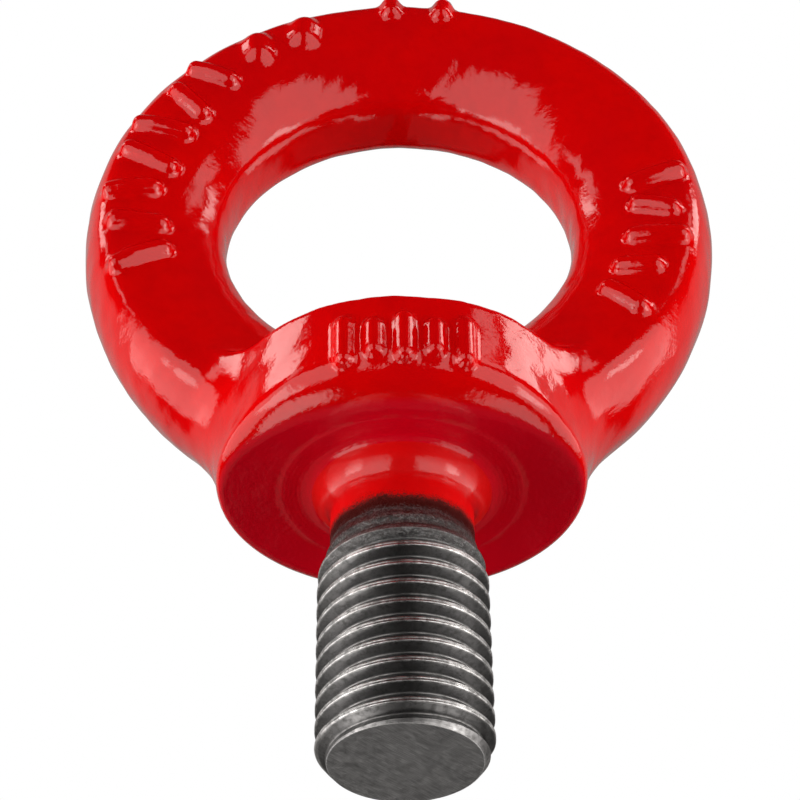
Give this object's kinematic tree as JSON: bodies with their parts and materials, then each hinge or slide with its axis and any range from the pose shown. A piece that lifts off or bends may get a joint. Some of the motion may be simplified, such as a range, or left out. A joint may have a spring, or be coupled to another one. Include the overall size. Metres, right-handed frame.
{
  "type": "lifting eye bolt",
  "caption": "Forged shouldered lifting eye bolt: round eye on a collar with a machined seat, red paint over the forging and a bare steel M16 threaded shank.",
  "frame": {"origin": "centre of the machined seat under the collar, on the thread axis", "axes": "+Z along the thread axis from the shank up through the eye; the eye's axis lies along Y; the raised marks face -Y"},
  "size_m": [0.065, 0.0359, 0.0937],
  "materials": {
    "red_paint": "gloss red enamel over a forging",
    "bare_steel": "dark oiled machined steel"
  },
  "bodies": {
    "root": {"lifting_ring": "red_paint", "collar": "red_paint", "front_saddle": "red_paint", "rear_saddle": "red_paint", "left_root": "red_paint", "right_root": "red_paint", "neck": "red_paint", "threaded_shank": "bare_steel", "left_ring_marks": "red_paint", "top_ring_marks": "red_paint", "right_ring_marks": "red_paint", "collar_marks": "red_paint"}
  },
  "joints": []
}
